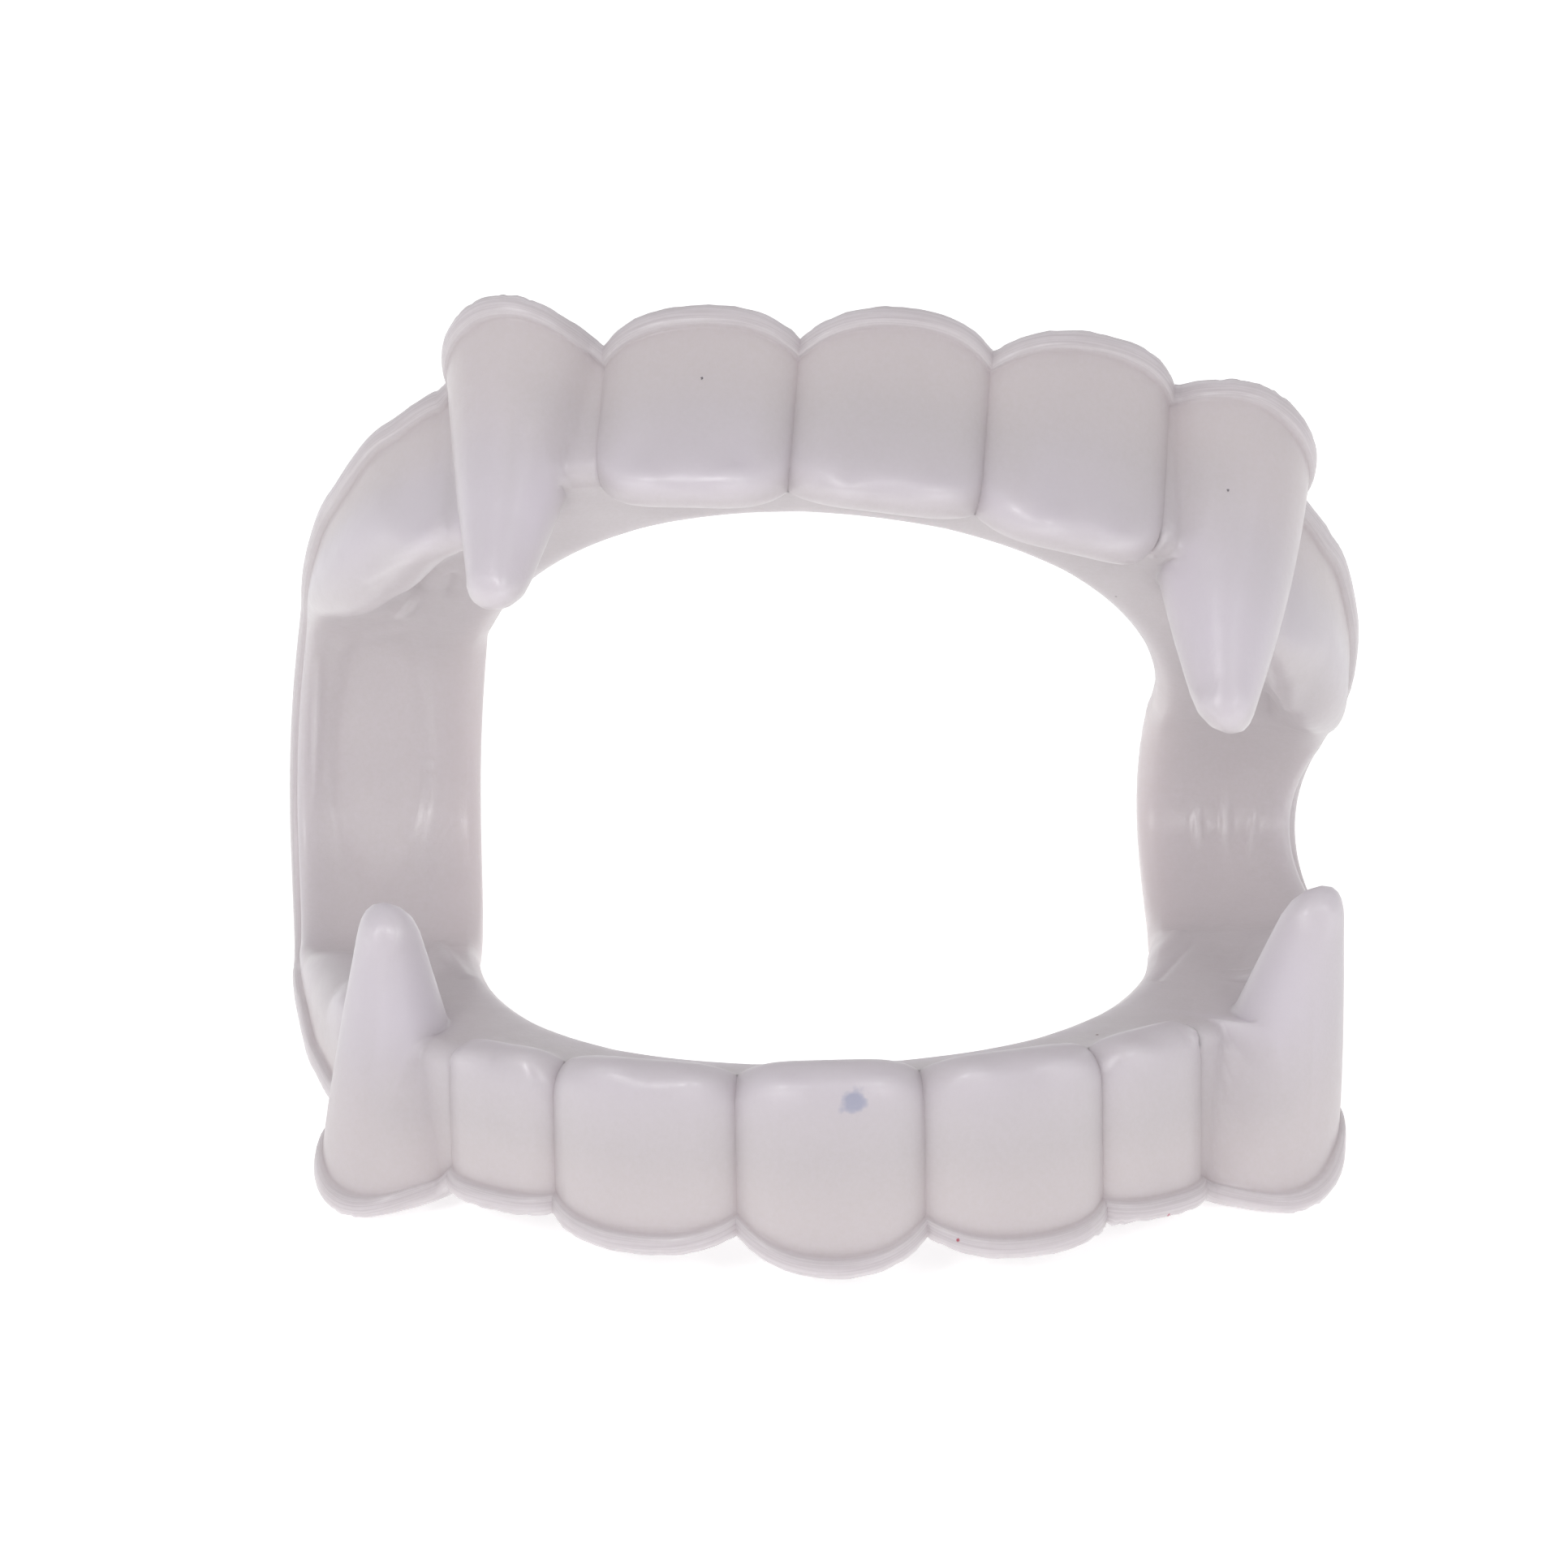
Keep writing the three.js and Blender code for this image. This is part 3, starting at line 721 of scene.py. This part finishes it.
# The two lights, at equal angles either side of the camera, and the rest of the set's surroundings.
LIGHTS = SimpleNamespace(azimuth=28, elevation=42, distance=0.9, size=0.17, left_watts=1.8, right_watts=0.95)
FLOOR = SimpleNamespace(half=3.0, colour=(0.9, 0.9, 0.9, 1), roughness=0.9, glow=0.55)
SKY_STRENGTH = 0.54
WHITE = (1, 1, 1, 1)

loft = Loft()
stations = loft.ring()
plain_grid = loft.grid(stations)
rings, points_per_ring, _ = plain_grid.shape
quads = ring_quads(rings, points_per_ring)
tilt, shift = standing(plain_grid.reshape(-1, 3), quads)


def to_frame(points):
    """Free-shape points, in millimetres, to the row frame, in metres."""
    return (turned_back(points.reshape(-1, 3), tilt) + shift) * MM


def make_camera():
    """The photograph's camera, looking at the middle of the strap bends."""
    data = bpy.data.cameras.new("camera")
    camera = bpy.data.objects.new("camera", data)
    bpy.context.scene.collection.objects.link(camera)
    e = math.radians(CAMERA.elevation)
    back = Vector((0, -math.cos(e), math.sin(e)))
    aim = Vector(shift * MM)
    camera.location = aim + back * (CAMERA.distance * MM)
    camera.rotation_mode = "QUATERNION"
    camera.rotation_quaternion = (-back).to_track_quat("-Z", "Y")
    data.sensor_width = 36
    data.lens = 36 * CAMERA.pixels_per_mm * CAMERA.distance / PHOTO
    data.shift_x = (PHOTO / 2 - CAMERA.aim_pixel[0]) / PHOTO
    data.shift_y = (CAMERA.aim_pixel[1] - PHOTO / 2) / PHOTO
    data.clip_start = 0.01
    data.clip_end = 10
    bpy.context.scene.camera = camera
    return camera


camera = make_camera()


def view_axes():
    """The camera's right, up and ahead directions."""
    e = math.radians(CAMERA.elevation)
    return np.array([[1, 0, 0], [0, math.sin(e), math.cos(e)], [0, math.cos(e), -math.sin(e)]])


def seen_at(points):
    """Where the camera sees points of the row frame, in photograph pixels."""
    right, up, ahead = view_axes() @ (points - np.array(camera.location)).T
    scale = CAMERA.pixels_per_mm * CAMERA.distance / ahead
    return np.stack([CAMERA.aim_pixel[0] + scale * right, CAMERA.aim_pixel[1] - scale * up], axis=1)


def behind_pixel(tree, pixel):
    """The first point of the surface behind a photograph pixel, and its normal."""
    right, up, ahead = view_axes()
    reach = CAMERA.pixels_per_mm * CAMERA.distance
    x = (pixel[0] - CAMERA.aim_pixel[0]) / reach
    y = (CAMERA.aim_pixel[1] - pixel[1]) / reach
    ray = Vector(ahead + x * right + y * up).normalized()
    place, normal, _, _ = tree.ray_cast(camera.location, ray)
    return place, normal


def drawing(count, fineness):
    """A matrix that draws a smooth closed curve near its points, a cubic B-spline, some runs more finely."""
    rows = []
    for i in range(count):
        fine = fineness(i)
        for t in np.arange(fine) / fine:
            row = np.zeros(count)
            weights = ((1 - t) ** 3, 3 * t**3 - 6 * t**2 + 4, -3 * t**3 + 3 * t**2 + 3 * t + 1, t**3)
            for k, weight in enumerate(weights):
                row[(i + k - 1) % count] += weight / 6
            rows.append(row)
    return np.array(rows)


def section_fineness(index):
    """How many points are drawn for one of a section's points."""
    return [fine for first, fine in FINENESS if first <= index][-1]


around_ring = drawing(rings, lambda index: 1)
around_section = drawing(points_per_ring, section_fineness)


def drawn(table):
    """A table of values at the loft's points, as values at the drawn points."""
    return np.einsum("ri,ij...,cj->rc...", around_ring, table, around_section, optimize=True)


def tree_of(points, faces):
    return BVHTree.FromPolygons(points.tolist(), faces.tolist())


def normals_of(table):
    """Normals of a table of points, from their neighbours along the ring and around the section."""
    along = np.roll(table, -1, axis=0) - np.roll(table, 1, axis=0)
    around = np.roll(table, -1, axis=1) - np.roll(table, 1, axis=1)
    normals = np.cross(around, along).reshape(-1, 3)
    return normals / np.maximum(np.linalg.norm(normals, axis=1, keepdims=True), 1e-12)


def spread_out(values, passes):
    """Evens values out between neighbouring points of the ring."""
    table = values.reshape(rings, points_per_ring)
    for _ in range(passes):
        for axis in (0, 1):
            table = (np.roll(table, 1, axis) + 2 * table + np.roll(table, -1, axis)) / 4
    return table.reshape(-1)


def in_relief(points, table_shape, faces):
    """The points with the relief of the photograph, which only the surface facing the camera takes."""
    tree = tree_of(points, faces)
    normals = normals_of(points.reshape(*table_shape, 3))
    pixels = seen_at(points)
    rise = np.zeros(len(points))
    swellings = [
        {"pixel": pixel, "half": kind.half, "turn": 0, "rise": kind.rise, "flat": False}
        for kind in (SHOULDERS, TIPS)
        for pixel in kind.pixels
    ]
    for mark in RELIEF + swellings:
        place, normal = behind_pixel(tree, mark["pixel"])
        if place is None:
            continue
        offset = (pixels - np.array(mark["pixel"])) / CAMERA.pixels_per_mm
        turn = math.radians(mark["turn"])
        across = offset[:, 0] * math.cos(turn) + offset[:, 1] * math.sin(turn)
        down = offset[:, 1] * math.cos(turn) - offset[:, 0] * math.sin(turn)
        radius = np.hypot(across / mark["half"][0], down / mark["half"][1])
        if mark["flat"]:
            weight = np.clip((FLAT_EDGE[0] - radius) / FLAT_EDGE[1], 0, 1)
            weight = weight * weight * (3 - 2 * weight)
        else:
            weight = np.exp(-(radius**2))
        near = np.linalg.norm(points - np.array(place), axis=1) < MARK_REACH * max(mark["half"]) * MM
        facing = np.clip(FACING_SHARPNESS * (normals @ np.array(normal)), 0, 1)
        rise += mark["rise"] * weight * near * facing
    return points + normals * (rise * MM)[:, None]


def thickness_of(points):
    """How solid the moulding is at each of the loft's points, from 0 where it is thin to 1."""
    tree = tree_of(points, quads)
    normals = normals_of(points.reshape(rings, points_per_ring, 3))
    thin, solid = THICKNESS
    found = []
    for point, normal in zip(points, normals):
        start = Vector(point - normal * (SKIN * MM))
        _, _, _, far = tree.ray_cast(start, Vector(-normal), solid * MM)
        found.append(solid if far is None else far / MM)
    return spread_out(np.clip((np.array(found) - thin) / (solid - thin), 0, 1), 3)


def warm_edges():
    """1 on the tongue-side face of the straps, less towards the teeth, and some under the band."""
    table = np.zeros((rings, points_per_ring))
    for i, station in enumerate(stations):
        far = 0 if station.kind == "bend" else 1 - abs(station.at)
        table[i, TONGUE_FACE] = 1 - smooth(far / WARM_RUN)
        table[i, UNDER_BAND] = UNDER_BAND_WARMTH
    return spread_out(table.reshape(-1), 2)


def float_attribute(mesh, name, values):
    attribute = mesh.attributes.new(name, "FLOAT", "POINT")
    attribute.data.foreach_set("value", np.asarray(values, dtype=np.float32))


def painted_thickness_light_and_shade():
    """Tone at each of the loft's points: lighter where the moulding is thick, painted light standing in for
    light scattered back through the plastic, and darker on undersides, which is painted shade.
    """
    plain = to_frame(plain_grid)
    up = normals_of(plain.reshape(rings, points_per_ring, 3))[:, 2]
    # Painted shade: surfaces that face down are made darker.
    below, run = UNDERSIDE
    down = np.clip((below - up) / run, 0, 1)
    return thickness_of(plain) * (1 - UNDERSIDE_PAINTED_SHADE * down)


def make_denture():
    """The moulding, and a search tree of its surface."""
    solid = painted_thickness_light_and_shade()
    band = np.zeros((rings, points_per_ring))
    band[:, : len(BAND_SHARES)] = BAND_SHARES
    rim = plain_grid[:, 0]
    steps = np.linalg.norm(np.diff(rim, axis=0, prepend=rim[-1:]), axis=1)
    loft.trim(stations, np.cumsum(steps))
    table = drawn(loft.grid(stations))
    faces = ring_quads(*table.shape[:2])
    points = in_relief(to_frame(table), table.shape[:2], faces)
    points[:, 2] = np.maximum(points[:, 2], 0)
    mesh = bpy.data.meshes.new("moulding")
    mesh.from_pydata(points.tolist(), [], faces.tolist())
    # The solid attribute holds the painted light of the thickness and the painted underside shade.
    float_attribute(mesh, "solid", drawn(solid.reshape(rings, points_per_ring)).reshape(-1))
    float_attribute(mesh, "edge", drawn(warm_edges().reshape(rings, points_per_ring)).reshape(-1))
    float_attribute(mesh, "band", drawn(band).reshape(-1))
    mesh.polygons.foreach_set("use_smooth", [True] * len(mesh.polygons))
    mesh.update()
    obj = bpy.data.objects.new("moulding", mesh)
    bpy.context.scene.collection.objects.link(obj)
    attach(obj, "root")
    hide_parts("denture")
    return obj, tree_of(points, faces)


class Nodes:
    """Short ways to add and join a material's nodes."""

    def __init__(self, material):
        material.use_nodes = True
        self.tree = material.node_tree
        self.shader = self.tree.nodes["Principled BSDF"]

    def add(self, kind, values=None, links=None, **settings):
        node = self.tree.nodes.new(kind)
        for name, value in settings.items():
            setattr(node, name, value)
        for socket, value in (values or {}).items():
            node.inputs[socket].default_value = value
        for socket, source in (links or {}).items():
            self.link(source, node.inputs[socket])
        return node

    def link(self, source, socket):
        self.tree.links.new(source, socket)

    def mixed(self, factor, a, b):
        """A colour mix; a and b are colours or sockets."""
        node = self.add("ShaderNodeMix", data_type="RGBA")
        self.link(factor, node.inputs[0])
        for socket, value in ((node.inputs[6], a), (node.inputs[7], b)):
            if isinstance(value, tuple):
                socket.default_value = value
            else:
                self.link(value, socket)
        return node.outputs[2]

    def ramp(self, source, low, high, to_low=0.0, to_high=1.0):
        values = {"From Min": low, "From Max": high, "To Min": to_low, "To Max": to_high}
        return self.add("ShaderNodeMapRange", values, {"Value": source}).outputs["Result"]

    def noise(self, vector, scale, detail, rough=0.5):
        values = {"Scale": scale, "Detail": detail, "Roughness": rough}
        return self.add("ShaderNodeTexNoise", values, {"Vector": vector}).outputs["Fac"]


def band_lines(nodes, place):
    """How dark the fine lines along the band are at a place; they follow the rim."""
    band = nodes.add("ShaderNodeAttribute", attribute_name="band").outputs["Fac"]
    across = nodes.add("ShaderNodeVectorMath", links={0: band}, operation="SCALE")
    across.inputs["Scale"].default_value = PLASTIC.line_spread
    links = {0: place, 1: across.outputs[0]}
    beside = nodes.add("ShaderNodeVectorMath", links=links, operation="ADD").outputs[0]
    lines = nodes.ramp(nodes.noise(beside, PLASTIC.line_scale, 2), 0.42, 0.62, 0, PLASTIC.line_share)
    on_band = nodes.ramp(band, 0.12, 0.3)
    return nodes.add("ShaderNodeMath", links={0: lines, 1: on_band}, operation="MULTIPLY").outputs[0]


def inside_mark(nodes, place, centre, radius):
    """1 inside a small mark with an uneven outline, 0 outside it."""
    far = nodes.add("ShaderNodeVectorMath", links={0: place}, operation="DISTANCE")
    far.inputs[1].default_value = centre
    uneven = nodes.ramp(nodes.noise(place, 1 / radius, 2), 0.3, 0.7, 0.6, 1.3)
    reach = nodes.add("ShaderNodeMath", {1: radius}, {0: uneven}, operation="MULTIPLY").outputs[0]
    links = {0: far.outputs["Value"], 1: reach}
    share = nodes.add("ShaderNodeMath", links=links, operation="DIVIDE").outputs[0]
    return nodes.ramp(share, 1.1, 0.6)


def plastic(marks):
    """Milky soft plastic: greyer where it is thin and lighter where it is thick, which is painted light
    scattered through the plastic, darker on undersides, which is painted shade, with fine grain, faint clouds
    and small marks.
    """
    material = bpy.data.materials.new("translucent_plastic")
    nodes = Nodes(material)
    place = nodes.add("ShaderNodeTexCoord").outputs["Object"]
    solid = nodes.add("ShaderNodeAttribute", attribute_name="solid").outputs["Fac"]
    edge = nodes.add("ShaderNodeAttribute", attribute_name="edge").outputs["Fac"]
    # Painted light and shade: lighter where the moulding is thick, standing in for light scattered through the
    # plastic, and darker on undersides.
    colour = nodes.mixed(nodes.ramp(solid, 0, 1), PLASTIC.thin, PLASTIC.solid)
    colour = nodes.mixed(nodes.ramp(edge, 0.2, 1, 0, PLASTIC.edge_share), colour, PLASTIC.edge)
    clouds = nodes.noise(place, PLASTIC.cloud_scale, 3)
    colour = nodes.mixed(nodes.ramp(clouds, 0.35, 0.65, 0, PLASTIC.cloud_share), colour, PLASTIC.thin)
    grain = nodes.noise(place, PLASTIC.grain_scale, 2, 0.7)
    colour = nodes.mixed(nodes.ramp(grain, 0.3, 0.75, 0, PLASTIC.grain_share), colour, PLASTIC.solid)
    colour = nodes.mixed(band_lines(nodes, place), colour, PLASTIC.groove)
    for centre, radius, tint in marks:
        colour = nodes.mixed(inside_mark(nodes, place, centre, radius), colour, tint)
    shader = nodes.shader
    nodes.link(colour, shader.inputs["Base Color"])
    smears = nodes.noise(place, PLASTIC.smear_scale, 4, 0.6)
    nodes.link(nodes.ramp(smears, 0.3, 0.7, *PLASTIC.roughness), shader.inputs["Roughness"])
    values = {"Strength": PLASTIC.grain_strength, "Distance": PLASTIC.grain_depth}
    bump = nodes.add("ShaderNodeBump", values, {"Height": grain})
    waves = nodes.noise(place, PLASTIC.dent_scale, 2)
    values = {"Strength": PLASTIC.dent_strength, "Distance": PLASTIC.dent_depth}
    dents = nodes.add("ShaderNodeBump", values, {"Height": waves, "Normal": bump.outputs[0]})
    nodes.link(dents.outputs[0], shader.inputs["Normal"])
    shader.inputs["IOR"].default_value = PLASTIC.ior
    shader.inputs["Subsurface Weight"].default_value = PLASTIC.scatter_weight
    shader.inputs["Subsurface Radius"].default_value = (1, 1, 1)
    shader.inputs["Subsurface Scale"].default_value = PLASTIC.scatter
    return material


def marks_in_place(tree):
    """The specks and the stain where the camera sees them: centre, radius in metres and colour."""
    placed = []
    for mark in SPECKS:
        place, _ = behind_pixel(tree, mark["pixel"])
        if place is not None:
            placed.append((tuple(place), mark["radius"] * MM, mark["colour"]))
    return placed


denture, surface = make_denture()
denture.data.materials.append(plastic(marks_in_place(surface)))


def make_floor():
    """A pale floor that glows a little, because the photograph shows pure white around the set."""
    mesh = bpy.data.meshes.new("floor")
    half = FLOOR.half
    corners = [(-half, -half, 0), (half, -half, 0), (half, half, 0), (-half, half, 0)]
    mesh.from_pydata(corners, [], [(0, 1, 2, 3)])
    floor = bpy.data.objects.new("floor", mesh)
    bpy.context.scene.collection.objects.link(floor)
    material = bpy.data.materials.new("floor")
    material.use_nodes = True
    shader = material.node_tree.nodes["Principled BSDF"]
    shader.inputs["Base Color"].default_value = FLOOR.colour
    shader.inputs["Roughness"].default_value = FLOOR.roughness
    shader.inputs["Specular IOR Level"].default_value = 0.0
    shader.inputs["Emission Color"].default_value = WHITE
    shader.inputs["Emission Strength"].default_value = FLOOR.glow
    mesh.materials.append(material)


make_floor()


def soft_light(name, azimuth, watts):
    """A square area light aimed at the set; azimuth 0 is the camera's side and 90 the picture's right."""
    data = bpy.data.lights.new(name, "AREA")
    data.shape = "RECTANGLE"
    data.size = data.size_y = LIGHTS.size
    data.energy = watts
    light = bpy.data.objects.new(name, data)
    bpy.context.scene.collection.objects.link(light)
    a, e = math.radians(azimuth), math.radians(LIGHTS.elevation)
    back = Vector((math.sin(a) * math.cos(e), -math.cos(a) * math.cos(e), math.sin(e)))
    light.location = Vector(shift * MM) + back * LIGHTS.distance
    light.rotation_mode = "QUATERNION"
    light.rotation_quaternion = (-back).to_track_quat("-Z", "Y")


soft_light("left_softbox", -LIGHTS.azimuth, LIGHTS.left_watts)
soft_light("right_softbox", LIGHTS.azimuth, LIGHTS.right_watts)


def make_sky():
    world = bpy.data.worlds.new("studio")
    bpy.context.scene.world = world
    world.use_nodes = True
    background = world.node_tree.nodes["Background"]
    background.inputs["Color"].default_value = WHITE
    background.inputs["Strength"].default_value = SKY_STRENGTH


make_sky()
bpy.context.scene.view_settings.view_transform = "Standard"
